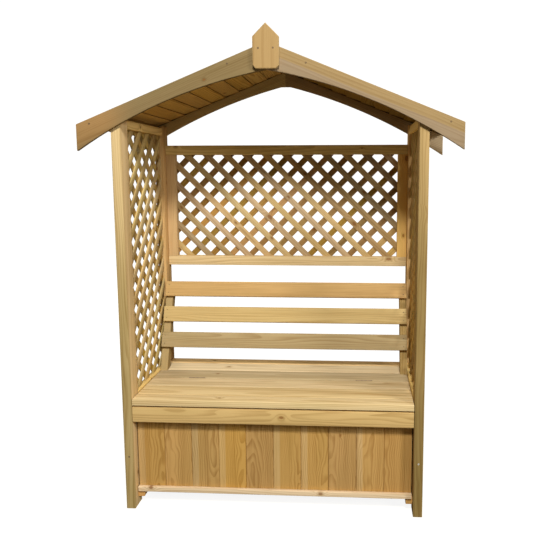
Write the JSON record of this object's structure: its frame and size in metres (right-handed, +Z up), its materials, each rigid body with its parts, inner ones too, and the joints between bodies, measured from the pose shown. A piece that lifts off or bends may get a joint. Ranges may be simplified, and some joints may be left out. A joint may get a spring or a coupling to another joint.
{
  "type": "garden arbour seat",
  "caption": "Timber garden arbour with lattice sides and back, slatted backrest, storage bench with hinged lid and a boarded gable roof behind arched barge boards.",
  "frame": {"origin": "on the ground, in the middle of the overall width and depth", "axes": "+Z up, +X to the viewer's right when facing the seat, -Y out of the open front"},
  "size_m": [1.5, 0.712, 1.964],
  "materials": {
    "post_wood": "sawn and planed softwood, pressure treated",
    "frame_wood": "sawn and planed softwood, pressure treated",
    "trellis_wood": "sawn and planed softwood, pressure treated",
    "cladding_wood": "sawn and planed softwood, pressure treated",
    "bearer_wood": "sawn and planed softwood, pressure treated",
    "slat_wood": "sawn and planed softwood, pressure treated",
    "seat_wood": "sawn and planed softwood, pressure treated",
    "lid_batten_wood": "sawn and planed softwood, pressure treated",
    "apron_wood": "sawn and planed softwood, pressure treated",
    "barge_wood": "sawn and planed softwood, pressure treated",
    "arch_wood": "sawn and planed softwood, pressure treated",
    "roof_wood": "sawn and planed softwood, pressure treated",
    "hinge_steel": "zinc plated"
  },
  "bodies": {
    "arbour": {"front_post_left": "post_wood", "front_post_right": "post_wood", "rear_post_left": "post_wood", "rear_post_right": "post_wood", "side_top_rail_left": "frame_wood", "side_top_rail_right": "frame_wood", "side_mid_rail_left": "frame_wood", "side_mid_rail_right": "frame_wood", "back_stile_left": "frame_wood", "back_stile_right": "frame_wood", "back_support_left": "frame_wood", "back_support_right": "frame_wood", "seat_bearer_left": "frame_wood", "seat_bearer_right": "frame_wood", "front_rafter_left": "frame_wood", "front_rafter_right": "frame_wood", "back_top_rail": "frame_wood", "back_bottom_rail": "frame_wood", "hinge_rail": "frame_wood", "box_front_top_rail": "frame_wood", "box_rear_top_rail": "frame_wood", "side_trellis_left": "trellis_wood", "side_trellis_right": "trellis_wood", "back_trellis": "trellis_wood", "side_cladding_left": "cladding_wood", "side_cladding_right": "cladding_wood", "box_front_boards": "cladding_wood", "box_rear_boards": "cladding_wood", "box_floor": "cladding_wood", "floor_bearer_left": "bearer_wood", "floor_bearer_right": "bearer_wood", "back_slat_lower": "slat_wood", "back_slat_middle": "slat_wood", "back_slat_upper": "slat_wood", "rear_seat_board_1": "seat_wood", "rear_seat_board_2": "seat_wood", "rear_seat_board_3": "seat_wood", "seat_apron": "apron_wood", "box_front_rail": "apron_wood", "barge_board_left": "barge_wood", "barge_board_right": "barge_wood", "finial_plate": "barge_wood", "ridge_cap": "barge_wood", "rear_arch_left": "arch_wood", "rear_arch_right": "arch_wood", "roof_boards_left": "roof_wood", "roof_boards_right": "roof_wood", "hinge_fixed_leaf_left": "hinge_steel", "hinge_fixed_leaf_right": "hinge_steel"},
    "lid": {"lid_nosing": "seat_wood", "lid_board_front": "seat_wood", "lid_board_rear": "seat_wood", "lid_batten_left": "lid_batten_wood", "lid_batten_right": "lid_batten_wood", "hinge_moving_leaf_left": "hinge_steel", "hinge_moving_leaf_right": "hinge_steel"}
  },
  "joints": [
    {"name": "lid_hinge", "type": "hinge", "parent": "arbour", "child": "lid", "pos_m": [0, -0.034, 0.478], "axis": [-1, 0, 0], "range_deg": [0, 122]}
  ]
}
